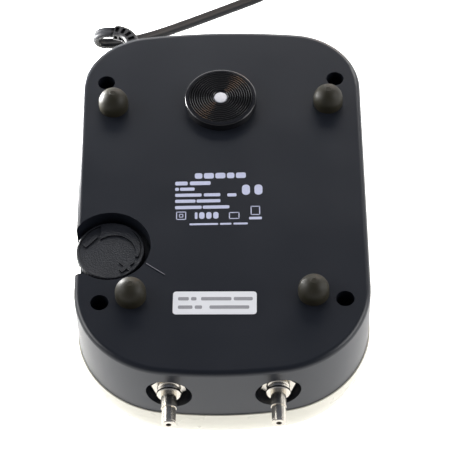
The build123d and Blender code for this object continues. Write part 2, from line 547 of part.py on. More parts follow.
for word, side in SIDES:
    with BuildPart() as swing_arm:
        with Locations(spot(side * ARM_X, (ARM_TIP_Y + PIVOT_Y) / 2, MECH_Z)):
            Box(ARM_PLATE, PIVOT_Y - ARM_TIP_Y, 14)
        with Locations(spot(side * ARM_X, PIVOT_Y, MECH_Z)):
            Cylinder(HUB_R, 16)
            Cylinder(PIN_R + 0.05, 16, mode=Mode.SUBTRACT)
        clamp_face = outward(side, ARM_INNER_X + ARM_PLATE, CHAMBER_Y, MECH_Z)
        with Locations(clamp_face.location):
            Cylinder(CLAMP_R, DIAPHRAGM_X - ARM_INNER_X - ARM_PLATE - 0.1, align=STANDING)
            Cylinder(PILOT_R, 10, mode=Mode.SUBTRACT)
    swing_arm.part.label = f"{word}_swing_arm"
    export_step(swing_arm.part, f"parts/{word}_swing_arm.step")

    with BuildPart() as arm_magnets:
        with Locations(*[spot(side * (ARM_INNER_X - MAGNET / 2), CORE_Y + t * 6.1, MECH_Z) for t in (-1, 1)]):
            Box(MAGNET, 12, 12)
        chamfer(arm_magnets.edges(), 0.3)
    arm_magnets.part.label = f"{word}_arm_magnets"
    export_step(arm_magnets.part, f"parts/{word}_arm_magnets.step")

    with BuildPart() as pivot_bracket:
        with Locations(spot(side * ARM_X, PIVOT_Y, BRACKET_TOP_Z)):
            Box(2 * BRACKET_REACH + 7, 12, 2.4, align=HANGING)
        with Locations(spot(side * ARM_X, PIVOT_Y - 6, BRACKET_TOP_Z)):
            Box(10, 15.5, 2.4, align=(Align.CENTER, Align.MIN, Align.MAX))
        with Locations(spot(side * ARM_X, PIVOT_Y - 6, 2 * MECH_Z - BRACKET_TOP_Z)):
            Box(10, 15.5, 2.4, align=(Align.CENTER, Align.MIN, Align.MIN))
        with Locations(spot(side * ARM_X, PIVOT_Y + 7, MECH_Z)):
            Box(10, 2.5, 2 * (BRACKET_TOP_Z - MECH_Z), align=(Align.CENTER, Align.MIN, Align.CENTER))
        with Locations(spot(side * ARM_X, PIVOT_Y, MECH_Z)):
            Cylinder(PIN_R, 2 * (BRACKET_TOP_Z - MECH_Z), mode=Mode.SUBTRACT)
        with Locations(*[spot(side * ARM_X + t * BRACKET_REACH, PIVOT_Y, BRACKET_TOP_Z) for t in (-1, 1)]):
            Cylinder(PILOT_R, 2.4, align=HANGING, mode=Mode.SUBTRACT)
    pivot_bracket.part.label = f"{word}_pivot_bracket"
    export_step(pivot_bracket.part, f"parts/{word}_pivot_bracket.step")

with BuildPart() as pivot_pins:
    with Locations(*[spot(s * ARM_X, PIVOT_Y, MECH_Z) for s in (-1, 1)]):
        Cylinder(PIN_R, 2 * (BRACKET_TOP_Z - MECH_Z))
pivot_pins.part.label = "pivot_pins"
export_step(pivot_pins.part, "parts/pivot_pins.step")

with BuildPart() as bracket_screws:
    posts = [(x, y) for x, y, z, _ in POST_SPOTS if z == BRACKET_TOP_Z]
    with Locations(*[head_down(x, y, BRACKET_TOP_Z - 2.4) for x, y in posts]):
        add(cross_screw(9.0, head_r=2.6))
bracket_screws.part.label = "bracket_screws"
export_step(bracket_screws.part, "parts/bracket_screws.step")

# ================================================================== pump chambers
DISC_R, DISC_THICK, BEAD_R, CAVITY_R = 6.8, 1.2, 13.0, 9.8
COVER_DEPTH, COVER_ROOM_R, COVER_FACE = 8.4, 12.4, 1.6
FLAP_WIDE, FLAP_LONG, FLAP_THICK, FLAP_GAP, FLAP_ROOT = 9.0, 5.8, 0.8, 0.3, 1.6
COVER_SCREW_R = 13.7

for word, side in SIDES:
    with BuildPart() as diaphragm:
        # a cone between a clamped disc and a bead, turned about the chamber's axis
        with BuildSketch(Plane(spot(0, CHAMBER_Y, MECH_Z), x_dir=(side, 0, 0), z_dir=(0, -side, 0))):
            with BuildLine():
                Polyline(
                    (DIAPHRAGM_X, PILOT_R + 0.3), (DIAPHRAGM_X, DISC_R + 0.4), (RIM_X, 10.5), (RIM_X, BEAD_R),
                    (RIM_X + 2.0, BEAD_R), (RIM_X + 2.0, 10.4), (RIM_X + 1.1, 10.0),
                    (DIAPHRAGM_X + DISC_THICK, DISC_R), (DIAPHRAGM_X + DISC_THICK, PILOT_R + 0.3),
                    close=True,
                )
            make_face()
        revolve(axis=Axis(spot(0, CHAMBER_Y, MECH_Z), (1, 0, 0)))
    diaphragm.part.label = f"{word}_diaphragm"
    export_step(diaphragm.part, f"parts/{word}_diaphragm.step")

    washer_x = DIAPHRAGM_X + DISC_THICK + 0.1
    with BuildPart() as diaphragm_washer:
        with Locations(outward(side, washer_x, CHAMBER_Y, MECH_Z).location):
            Cylinder(WASHER_R, 1.0, align=STANDING)
            Cylinder(PILOT_R, 1.0, align=STANDING, mode=Mode.SUBTRACT)
    diaphragm_washer.part.label = f"{word}_diaphragm_washer"
    export_step(diaphragm_washer.part, f"parts/{word}_diaphragm_washer.step")

    with BuildPart() as diaphragm_screw:
        with Locations(outward(side, washer_x + 1.0, CHAMBER_Y, MECH_Z).location):
            add(cross_screw(washer_x + 1.0 - ARM_INNER_X, head=SCREW_HEAD))
    diaphragm_screw.part.label = f"{word}_diaphragm_screw"
    export_step(diaphragm_screw.part, f"parts/{word}_diaphragm_screw.step")

    with BuildPart() as chamber_body:
        with Locations(outward(side, RIM_X - 0.8, CHAMBER_Y, MECH_Z).location):
            Cylinder(CHAMBER_R, COVER_X - RIM_X + 0.8, align=STANDING)
        with Locations(spot(side * LUG_X, CHAMBER_Y, MECH_Z + 4)):
            Box(6.4, 2 * LUG_REACH + 6.4, 4, align=STANDING)
        with Locations(outward(side, RIM_X - 0.8, CHAMBER_Y, MECH_Z).location):
            Cylinder(BEAD_R, 2.8, align=STANDING, mode=Mode.SUBTRACT)
            Cylinder(CAVITY_R, VALVE_WALL_X - RIM_X + 0.8, align=STANDING, mode=Mode.SUBTRACT)
        with Locations(outward(side, VALVE_WALL_X, CHAMBER_Y, MECH_Z).location):
            with Locations(*[(y, z) for y in (-3, 0, 3) for z in (-PORT_Z, PORT_Z)]):
                Cylinder(1.1, 5, mode=Mode.SUBTRACT)
        with Locations(outward(side, COVER_X, CHAMBER_Y, MECH_Z).location):
            with PolarLocations(COVER_SCREW_R, 4, start_angle=45):
                Cylinder(1.0, 4.2, align=HANGING, mode=Mode.SUBTRACT)
        with Locations(*[spot(side * LUG_X, CHAMBER_Y + t * LUG_REACH, MECH_Z + 6) for t in (-1, 1)]):
            Cylinder(PILOT_R, 6, mode=Mode.SUBTRACT)
    chamber_body.part.label = f"{word}_chamber_body"
    export_step(chamber_body.part, f"parts/{word}_chamber_body.step")

    # intake flap inside the chamber above, exhaust flap outside it below
    for use, face_x, up in (("intake", VALVE_WALL_X - FLAP_GAP - FLAP_THICK, 1),
                            ("exhaust", COVER_X + FLAP_GAP, -1)):
        with BuildPart() as valve_flap:
            with Locations(outward(side, face_x, CHAMBER_Y, MECH_Z).location):
                with Locations((0, up * (FLAP_ROOT + FLAP_LONG / 2), 0)):
                    Box(FLAP_WIDE, FLAP_LONG, FLAP_THICK, align=STANDING)
            fillet(valve_flap.edges().filter_by(Axis.X), 1.5)
        valve_flap.part.label = f"{word}_{use}_flap"
        export_step(valve_flap.part, f"parts/{word}_{use}_flap.step")

    with BuildPart() as valve_cover:
        with Locations(outward(side, COVER_X, CHAMBER_Y, MECH_Z).location):
            Cylinder(CHAMBER_R, COVER_DEPTH, align=STANDING)
        fillet(valve_cover.edges().sort_by(Axis.X, reverse=side > 0)[0], 1.6)
        with Locations(forward(side * (COVER_X + 4.0), CHAMBER_Y - 12.0, MECH_Z - 6.0)):
            Cylinder(SPIGOT_R, 11.0, align=STANDING)
        with Locations(outward(side, COVER_X, CHAMBER_Y, MECH_Z).location):
            with BuildSketch(outward(side, COVER_X, CHAMBER_Y, MECH_Z)):
                Circle(COVER_ROOM_R)
                Rectangle(2 * COVER_ROOM_R, 1.4, mode=Mode.SUBTRACT)
        extrude(amount=COVER_DEPTH - COVER_FACE, mode=Mode.SUBTRACT)
        with Locations(outward(side, COVER_X, CHAMBER_Y, MECH_Z).location):
            with Locations(*[(y, 6.5) for y in (-5, 0, 5)]):
                Box(2.2, 6.0, 2 * COVER_DEPTH, align=(Align.CENTER, Align.CENTER, Align.MIN),
                    mode=Mode.SUBTRACT)
            with PolarLocations(COVER_SCREW_R, 4, start_angle=45):
                Cylinder(1.0, COVER_DEPTH, align=STANDING, mode=Mode.SUBTRACT)
        with Locations(forward(side * (COVER_X + 4.0), CHAMBER_Y - 9.0, MECH_Z - 6.0)):
            Cylinder(AIR_BORE_R, 14.0, align=STANDING, mode=Mode.SUBTRACT)
    valve_cover.part.label = f"{word}_valve_cover"
    export_step(valve_cover.part, f"parts/{word}_valve_cover.step")

    # rubber tube from the valve cover's spigot down to the outlet's inner barb
    with BuildPart() as air_tube:
        tube_x = side * (COVER_X + 4.0)
        with BuildLine() as tube_line:
            FilletPolyline(
                spot(tube_x, CHAMBER_Y - 16.0, MECH_Z - 6.0), spot(tube_x, -24.0, MECH_Z - 6.0),
                spot(side * 36.0, -38.0, MECH_Z + 2.0), spot(side * 21.0, -45.0, OUTLET_Z - 1.6),
                spot(side * OUTLET_X, -54.0, OUTLET_Z), spot(side * OUTLET_X, -64.6, OUTLET_Z),
                radius=[10, 9, 6, 5],
            )
        with BuildSketch(Plane(spot(tube_x, CHAMBER_Y - 16.0, MECH_Z - 6.0), z_dir=(0, -1, 0))):
            Circle(SPIGOT_R + 1.1)
            Circle(SPIGOT_R + 0.1, mode=Mode.SUBTRACT)
        sweep(path=tube_line.wire())
    air_tube.part.label = f"{word}_air_tube"
    export_step(air_tube.part, f"parts/{word}_air_tube.step")

with BuildPart() as chamber_screws:
    posts = [(x, y) for x, y, z, _ in POST_SPOTS if z == MECH_Z + 8.0]
    with Locations(*[head_down(x, y, MECH_Z + 4) for x, y in posts]):
        add(cross_screw(11.0))
chamber_screws.part.label = "chamber_screws"
export_step(chamber_screws.part, "parts/chamber_screws.step")

with BuildPart() as valve_cover_screws:
    for _, side in SIDES:
        with Locations(outward(side, COVER_X + COVER_DEPTH, CHAMBER_Y, MECH_Z).location):
            with PolarLocations(COVER_SCREW_R, 4, start_angle=45):
                add(cross_screw(COVER_DEPTH + 4.0, head_r=1.6, head=1.0, shank_r=0.95))
valve_cover_screws.part.label = "valve_cover_screws"
export_step(valve_cover_screws.part, "parts/valve_cover_screws.step")

# ================================================================== lead wires
LEAD_R = 0.9
WINDING_TOP_Z = MECH_Z + BOBBIN_HALF_Z - WINDING_INSET
BOARD_PADS = [(-29.4, -17.6), (-29.2, -25.6)]
COIL_PADS = [(-5.0, CORE_Y + 8.0), (-5.0, CORE_Y - 5.0)]
LEAD_TOUCH = 0.05  # each wire stops this far above what it is joined to
CORD_TO_COIL = [
    (-33.4, 67.8, GLAND_Z), (-33.4, 63.5, GLAND_Z), (-31.5, 58.0, DECK_Z - 13.0),
    (-24.6, 44.0, DECK_Z - 12.0), (-9.0, 22.0, DECK_Z - 11.6), (-6.0, 2.0, DECK_Z - 10.6),
    (*COIL_PADS[0], DECK_Z - 10.0), (*COIL_PADS[0], WINDING_TOP_Z + LEAD_TOUCH),
]
CORD_TO_BOARD = [
    (-35.6, 67.8, GLAND_Z), (-35.6, 63.5, GLAND_Z), (-33.4, 58.0, DECK_Z - 11.5),
    (-28.2, 52.0, DECK_Z - 9.4), (-27.8, 38.0, DECK_Z - 8.6), (-27.4, 18.0, DECK_Z - 8.8),
    (-27.0, -1.0, DECK_Z - 9.8), (-27.1, -11.5, DECK_Z - 11.6), (*BOARD_PADS[0], DECK_Z - 13.6),
    (*BOARD_PADS[0], BOARD_TOP_Z + LEAD_TOUCH),
]
BOARD_TO_COIL = [
    (*BOARD_PADS[1], BOARD_TOP_Z + LEAD_TOUCH), (*BOARD_PADS[1], DECK_Z - 13.6),
    (-20.0, -24.6, DECK_Z - 10.8), (*COIL_PADS[1], DECK_Z - 10.4),
    (*COIL_PADS[1], WINDING_TOP_Z + LEAD_TOUCH),
]


def bend_radii(points, share=0.45):
    """For each corner of a route, the arc that fits that share of the shorter run beside it."""
    radii = []
    for before, corner, after in zip(points, points[1:], points[2:]):
        run_in, run_out = Vector(corner) - Vector(before), Vector(after) - Vector(corner)
        half_turn = math.radians(run_in.get_angle(run_out)) / 2
        radii.append(share * min(run_in.length, run_out.length) / math.tan(half_turn))
    return radii


def round_tube(points, radius):
    """A solid round tube along straight runs joined by tangent arcs."""
    with BuildPart() as tube:
        with BuildLine() as line:
            FilletPolyline(*points, radius=bend_radii(points))
        with BuildSketch(Plane(points[0], z_dir=Vector(points[1]) - Vector(points[0]))):
            Circle(radius)
        sweep(path=line.wire())
    return tube.part, line.wire().length


with BuildPart() as lead_wires:
    for lead in (CORD_TO_COIL, CORD_TO_BOARD, BOARD_TO_COIL):
        add(round_tube([spot(*point) for point in lead], LEAD_R)[0])
lead_wires.part.label = "lead_wires"
export_step(lead_wires.part, "parts/lead_wires.step")

# ================================================================== power cord
NECK_WIDTH, NECK_HEIGHT = 6.6, 5.2
SLEEVE_START_Y = 80.0
SLEEVE_BEND_R = 7.0
SLEEVE_BEND = (GLAND_X, 89.4, GLAND_Z)
RUNGS, RUNG_PITCH, RUNG_LONG, WINDOW_DEEP = 5, 2.5, 1.5, 1.0

sleeve_points = [spot(GLAND_X, SLEEVE_START_Y, GLAND_Z), spot(*SLEEVE_BEND), spot(*ROUTE[0])]
with BuildLine() as sleeve_line:
    FilletPolyline(*sleeve_points, radius=SLEEVE_BEND_R)
sleeve_path = sleeve_line.wire()

with BuildPart() as strain_relief:
    with Locations(spot(GLAND_X, GLAND_INNER_Y, GLAND_Z)):
        Box(9.6, 2.0, 8.4, align=(Align.CENTER, Align.MAX, Align.CENTER))
    for y, width, height in ((GLAND_INNER_Y, NECK_WIDTH, NECK_HEIGHT),
                             (SLEEVE_START_Y, SLEEVE_WIDTH, SLEEVE_HEIGHT)):
        with BuildSketch(Plane(spot(GLAND_X, y, GLAND_Z), x_dir=(1, 0, 0), z_dir=(0, 1, 0))):
            RectangleRounded(width, height, 1.0)
    loft()
    with BuildSketch(Plane(sleeve_points[0], x_dir=(1, 0, 0), z_dir=(0, 1, 0))):
        RectangleRounded(SLEEVE_WIDTH, SLEEVE_HEIGHT, 1.0)
    sweep(path=sleeve_path)
    with Locations(spot(GLAND_X, 76.4, GLAND_Z)):
        Box(8.0, 2.0, 6.6, align=(Align.CENTER, Align.MIN, Align.CENTER))
    # ladder of windows in all four faces of the sleeve
    for rung in range(RUNGS):
        along = 1 - (1.1 + rung * RUNG_PITCH) / sleeve_path.length
        rung_plane = Plane(sleeve_path @ along, x_dir=(0, 0, 1), z_dir=sleeve_path % along)
        with Locations(rung_plane.location):
            for face in (-1, 1):
                with Locations((face * SLEEVE_HEIGHT / 2, 0, 0)):
                    Box(2 * WINDOW_DEEP, SLEEVE_WIDTH * 0.5, RUNG_LONG, mode=Mode.SUBTRACT)
                with Locations((0, face * SLEEVE_WIDTH / 2, 0)):
                    Box(SLEEVE_HEIGHT * 0.5, 2 * WINDOW_DEEP, RUNG_LONG, mode=Mode.SUBTRACT)
strain_relief.part.label = "strain_relief"
export_step(strain_relief.part, "parts/strain_relief.step")

cord_lengths = []
for name, route in (("power_cord", ROUTE), ("power_cord_tail", TAIL)):
    points = [spot(*point) for point in route]
    tube, length = round_tube(points, CORD_R)
    cord_lengths.append(length)
    print(name, "bend radii, mm:", [round(r, 1) for r in bend_radii(points)])
    print(name, "length", round(length, 1), "volume", round(tube.volume, 1),
          "section x length", round(math.pi * CORD_R**2 * length, 1))
    with BuildPart() as cord:
        add(tube)
    cord.part.label = name
    export_step(cord.part, f"parts/{name}.step")

with BuildPart() as cord_coil:
    with BuildSketch(Plane(spot(*COIL_AT, 0), x_dir=(1, 0, 0), z_dir=(0, -1, 0))):
        with Locations((COIL_R, COIL_Z + COIL_HIGH / 2)):
            RectangleRounded(COIL_WIDE, COIL_HIGH, 1.6)
    revolve(axis=Axis(spot(*COIL_AT, 0), (0, 0, 1)))
cord_coil.part.label = "cord_coil"
export_step(cord_coil.part, "parts/cord_coil.step")

with BuildPart() as cord_tie:
    with Locations(Location(spot(*COIL_AT, COIL_Z + COIL_HIGH / 2), (0, 0, TIE_ANGLE))):
        with Locations((COIL_R, 0, 0)):
            Box(COIL_WIDE + 2 * TIE + 0.8, TIE_WIDE, COIL_HIGH + 2 * TIE)
            fillet(cord_tie.edges().group_by(Edge.length)[1], 1.4)
            Box(COIL_WIDE + 0.8, TIE_WIDE, COIL_HIGH + 0.1, mode=Mode.SUBTRACT)
cord_tie.part.label = "cord_tie"
export_step(cord_tie.part, "parts/cord_tie.step")

PLUG_FROM = Location(spot(*TAIL[-1][:2], PLUG_THICK / 2), (0, 0, PLUG_HEADING))
PLUG_FACE = PLUG_SLEEVE + PLUG_LONG

with BuildPart() as plug_body:
    with BuildSketch(Plane(PLUG_FROM)):
        with BuildLine():
            Polyline(
                (8.0, 4.6), (PLUG_SLEEVE + 7.0, 10.5), (PLUG_SLEEVE + 15.0, PLUG_WIDE / 2),
                (PLUG_FACE, PLUG_WIDE / 2), (PLUG_FACE, -PLUG_WIDE / 2),
                (PLUG_SLEEVE + 15.0, -PLUG_WIDE / 2), (PLUG_SLEEVE + 7.0, -10.5), (8.0, -4.6), close=True,
            )
        make_face()
        fillet(vertices(), 2.6)
    extrude(amount=PLUG_THICK / 2, both=True)
    chamfer(plug_body.edges().group_by(Axis.Z)[0] + plug_body.edges().group_by(Axis.Z)[-1], 1.6)
    with Locations(PLUG_FROM * Location((0, 0, 0), (0, 90, 0))):
        Cone(CORD_R + 1.2, 4.4, PLUG_SLEEVE, align=STANDING)
plug_body.part.label = "plug_body"
export_step(plug_body.part, "parts/plug_body.step")

with BuildPart() as plug_pins:
    with Locations(*[PLUG_FROM * Location((PLUG_FACE, t * PIN_SPACING / 2, 0), (0, 90, 0)) for t in (-1, 1)]):
        Cylinder(PLUG_PIN_R, PLUG_PIN_LONG, align=STANDING)
    fillet(plug_pins.edges().filter_by(GeomType.CIRCLE), 0.9)
plug_pins.part.label = "plug_pins"
export_step(plug_pins.part, "parts/plug_pins.step")

print("cord in all, mm:", round(sum(cord_lengths) + COIL_TURNS * 2 * math.pi * COIL_R))
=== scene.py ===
import json
import math

import bmesh
import bpy
from mathutils import Matrix, Vector


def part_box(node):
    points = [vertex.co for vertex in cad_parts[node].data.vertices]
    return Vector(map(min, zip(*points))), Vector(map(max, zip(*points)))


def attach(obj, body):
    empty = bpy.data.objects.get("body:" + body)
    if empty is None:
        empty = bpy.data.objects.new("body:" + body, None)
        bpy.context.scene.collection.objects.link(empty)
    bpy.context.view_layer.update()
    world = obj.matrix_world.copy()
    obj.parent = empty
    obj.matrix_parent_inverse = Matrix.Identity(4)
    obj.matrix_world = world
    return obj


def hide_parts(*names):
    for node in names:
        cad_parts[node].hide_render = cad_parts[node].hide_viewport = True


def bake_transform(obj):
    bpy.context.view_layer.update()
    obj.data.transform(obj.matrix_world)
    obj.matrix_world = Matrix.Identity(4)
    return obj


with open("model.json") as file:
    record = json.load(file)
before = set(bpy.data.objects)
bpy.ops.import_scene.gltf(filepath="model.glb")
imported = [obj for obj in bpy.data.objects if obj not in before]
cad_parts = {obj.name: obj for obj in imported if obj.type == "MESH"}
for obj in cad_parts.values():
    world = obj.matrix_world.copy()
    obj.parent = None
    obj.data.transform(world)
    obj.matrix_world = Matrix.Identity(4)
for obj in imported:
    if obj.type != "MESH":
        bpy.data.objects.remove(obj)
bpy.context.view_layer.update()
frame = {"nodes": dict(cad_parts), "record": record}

# Lengths are in metres in the frame's own axes: the pump lies on its cover, +Z is up,
# the outlets point to -Y and the cord leaves at +Y.
MM = 0.001
HOUSING = "housing"
DECK_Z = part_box("rating_label")[0].z
# the housing's own centre, from which printed marks and the cord's points are measured
CENTRE_Y = sum(corner.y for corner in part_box("top_cover")) / 2


def housing_point(x, y, z):
    """A point given in millimetres from the housing's centre, in the frame."""
    return Vector((x * MM, y * MM + CENTRE_Y, z * MM))


# ------------------------------------------------------------------ camera
CAMERA_AT = Vector((0.01086, -0.46202, 0.68173))
CAMERA_TILT, CAMERA_TURN, CAMERA_ROLL = 35.857, 1.224, -1.978
CAMERA_LENS, SENSOR = 173.54, 36.0


def make_camera():
    data = bpy.data.cameras.new("camera")
    data.lens = CAMERA_LENS
    data.sensor_width = SENSOR
    data.clip_start, data.clip_end = 0.05, 20.0
    camera = bpy.data.objects.new("camera", data)
    bpy.context.scene.collection.objects.link(camera)
    turn = Matrix.Rotation(math.radians(CAMERA_TURN), 4, "Z")
    tilt = Matrix.Rotation(math.radians(CAMERA_TILT), 4, "X")
    roll = Matrix.Rotation(math.radians(CAMERA_ROLL), 4, "Z")
    camera.matrix_world = Matrix.Translation(CAMERA_AT) @ turn @ tilt @ roll
    bpy.context.scene.camera = camera


make_camera()


# ------------------------------------------------------------------ mesh helpers
def mesh_piece(name, vertices, faces, smooth=True):
    """A new object from points and faces, in the frame."""
    mesh = bpy.data.meshes.new(name)
    mesh.from_pydata([tuple(v) for v in vertices], [], faces)
    mesh.validate()
    mesh.update()
    for polygon in mesh.polygons:
        polygon.use_smooth = smooth
    piece = bpy.data.objects.new(name, mesh)
    bpy.context.scene.collection.objects.link(piece)
    return piece


def tube_faces(rings, sides, closed_ends=True):
    """Faces of a tube whose points come ring by ring."""
    faces = []
    for ring in range(rings - 1):
        for side in range(sides):
            after = (side + 1) % sides
            faces.append((ring * sides + side, ring * sides + after,
                          (ring + 1) * sides + after, (ring + 1) * sides + side))
    if closed_ends:
        faces.append(tuple(reversed(range(sides))))
        faces.append(tuple(range((rings - 1) * sides, rings * sides)))
    return faces


def level_frames(points):
    """At each point of a path: the way along it, a level direction across it and the third one."""
    frames, across_before = [], None
    for index, point in enumerate(points):
        along = points[min(index + 1, len(points) - 1)] - points[max(index - 1, 0)]
        along.normalize()
        across = along.cross(Vector((0, 0, 1)))
        if across_before is None:
            across.normalize()
        else:
            if across.dot(across_before) < 0:
                across.negate()
            # near a steep stretch the last direction is kept, and it turns back slowly
            across = across * 0.5 + across_before * 0.5
            across -= along * across.dot(along)
            across.normalize()
        across_before = across
        frames.append((along, across, across.cross(along)))
    return frames


# ------------------------------------------------------------------ power cord
# A flat twin cord. Its free points are those of the model's route, in millimetres.
CORD_WIDE, CORD_THICK = 4.6 * MM, 2.5 * MM
ROUTE = [
    (-41.6, 91.3, 38.6),
    (-48.9, 91.9, 38.4),
    (-49.0, 92.1, 31.0),
    (-41.5, 92.6, 30.4),
    (-31.0, 97.1, 27.4),
    (-15.6, 111.4, 18.6),
    (4.8, 131.2, 7.1),
    (17.8, 142.2, 1.7),
    (29.8, 152.2, 1.3),
]
COIL_AT = (16.0, 178.5)
COIL_TURNS, TURN_POINTS = 7, 14
COLUMN_R = (27.35, 22.7)  # the outer and the inner column of turns
FIRST_ANGLE, LAST_ANGLE = -40.0, 90.0
LAYER, FLOOR_LAYER_Z = 2.52, 2.1
CROSSING = 0.2  # share of a turn in which the cord passes from one turn's place to the next
TAIL = [
    (3.0, 204.0, 9.2),
    (-10.0, 203.4, 7.6),
    (-19.2, 200.2, 6.9),
    (-22.8, 195.8, 6.85),
]


def turn_place(turn):
    """Radius and layer of a turn: each layer has one turn in each column, in alternating order."""
    layer = turn // 2
    return COLUMN_R[(turn + layer) % 2], layer


def coil_points():
    """Seven turns, rising a cord's thickness with each layer."""
    points = []
    sweep = 360.0 * (COIL_TURNS - 1) + (LAST_ANGLE - FIRST_ANGLE) + 360.0
    count = round(sweep / 360.0 * TURN_POINTS)
    for step in range(count + 1):
        turned = sweep * step / count
        turn = turned / 360.0
        whole = int(turn)
        cross = min(1.0, (turn - whole) / CROSSING)
        cross = cross * cross * (3 - 2 * cross)
        radius_before, layer_before = turn_place(max(whole - 1, 0))
        radius_now, layer_now = turn_place(whole)
        r = radius_before + (radius_now - radius_before) * cross
        layer = layer_before + (layer_now - layer_before) * cross
        angle = math.radians(FIRST_ANGLE + turned)
        points.append((COIL_AT[0] + r * math.cos(angle), COIL_AT[1] + r * math.sin(angle),
                       FLOOR_LAYER_Z + LAYER * layer))
    return points


def nurbs_path(name, points):
    """Points read along a smooth NURBS spline through a route."""
    data = bpy.data.curves.new(name, "CURVE")
    data.dimensions = "3D"
    data.resolution_u = 10
    spline = data.splines.new("NURBS")
    spline.points.add(len(points) - 1)
    for place, point in zip(spline.points, points):
        place.co = (*point, 1.0)
    spline.order_u = 3
    spline.use_endpoint_u = True
    guide = bpy.data.objects.new(name, data)
    bpy.context.scene.collection.objects.link(guide)
    bpy.context.view_layer.update()
    line = bpy.data.meshes.new_from_object(guide.evaluated_get(bpy.context.evaluated_depsgraph_get()))
    path = [vertex.co.copy() for vertex in line.vertices]
    bpy.data.objects.remove(guide)
    bpy.data.meshes.remove(line)
    return path


def cord_section(steps=9):
    """Two round cores side by side with a shallow groove between them, as (across, through) pairs."""
    core = CORD_THICK / 2
    offset = CORD_WIDE / 2 - core
    groove = 0.80 * core
    half = []
    for step in range(steps + 1):
        angle = math.radians(-90 + 180 * step / steps)
        half.append((offset + core * math.cos(angle), core * math.sin(angle)))
    section = [(0.0, -groove), (offset * 0.35, -groove * 1.04)] + half
    section += [(offset * 0.35, groove * 1.04), (0.0, groove)]
    section += [(-x, y) for x, y in reversed(section[1:-1])]
    return section


def make_cord():
    free = [housing_point(*point) for point in ROUTE]
    coil = [housing_point(*point) for point in coil_points()]
    tail = [housing_point(*point) for point in TAIL]
    path = nurbs_path("cord_path", free + coil[1:] + tail)
    section = cord_section()
    vertices = []
    for point, (_, across, through) in zip(path, level_frames(path)):
        vertices += [point + across * a + through * t for a, t in section]
    cord = mesh_piece("cord", vertices, tube_faces(len(path), len(section)))
    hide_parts("power_cord", "power_cord_tail", "cord_coil")
    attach(cord, HOUSING)
    return cord


cord = make_cord()


# ------------------------------------------------------------------ materials
def linear(red, green, blue):
    """A colour given in the usual 0 to 255 display values."""
    return tuple(((c / 255 + 0.055) / 1.055) ** 2.4 if c > 10 else c / 255 / 12.92
                 for c in (red, green, blue))


GLOSS_SPREAD = 0.12  # how far roughness wanders to each side, as a share of itself


def make_material(name, colour, roughness, metallic=0.0, coat=0.0, coat_roughness=0.1, specular=0.5,
                  mottle=0.08, mottle_size=12 * MM, grain=0.0, grain_size=0.4 * MM, stretch=(1, 1, 1)):
    """A surface with slow colour and gloss changes and a fine grain, all from object coordinates."""
    material = bpy.data.materials.new(name)
    material.use_nodes = True
    tree = material.node_tree
    new, join = tree.nodes.new, tree.links.new
    shader = tree.nodes["Principled BSDF"]
    shader.inputs["Metallic"].default_value = metallic
    shader.inputs["Coat Weight"].default_value = coat
    shader.inputs["Coat Roughness"].default_value = coat_roughness
    shader.inputs["Specular IOR Level"].default_value = specular

    place = new("ShaderNodeTexCoord")
    spread = new("ShaderNodeMapping")
    spread.inputs["Scale"].default_value = stretch
    join(place.outputs["Object"], spread.inputs["Vector"])

    slow = new("ShaderNodeTexNoise")
    slow.inputs["Scale"].default_value = 1 / mottle_size
    slow.inputs["Detail"].default_value = 5
    join(spread.outputs["Vector"], slow.inputs["Vector"])
    tint = new("ShaderNodeMix")
    tint.data_type = "RGBA"
    tint.inputs["A"].default_value = (*[c * (1 - mottle) for c in colour], 1)
    tint.inputs["B"].default_value = (*[min(1.0, c * (1 + mottle)) for c in colour], 1)
    join(slow.outputs["Fac"], tint.inputs["Factor"])
    join(tint.outputs["Result"], shader.inputs["Base Color"])

    gloss = new("ShaderNodeMapRange")
    gloss.inputs["To Min"].default_value = roughness * (1 - GLOSS_SPREAD)
    gloss.inputs["To Max"].default_value = min(1.0, roughness * (1 + GLOSS_SPREAD))
    join(slow.outputs["Fac"], gloss.inputs["Value"])
    join(gloss.outputs["Result"], shader.inputs["Roughness"])

    if grain:
        fine = new("ShaderNodeTexNoise")
        fine.inputs["Scale"].default_value = 1 / grain_size
        fine.inputs["Detail"].default_value = 3
        join(spread.outputs["Vector"], fine.inputs["Vector"])
        bump = new("ShaderNodeBump")
        bump.inputs["Strength"].default_value = 1.0
        bump.inputs["Distance"].default_value = grain
        join(fine.outputs["Fac"], bump.inputs["Height"])
        join(bump.outputs["Normal"], shader.inputs["Normal"])
    return material


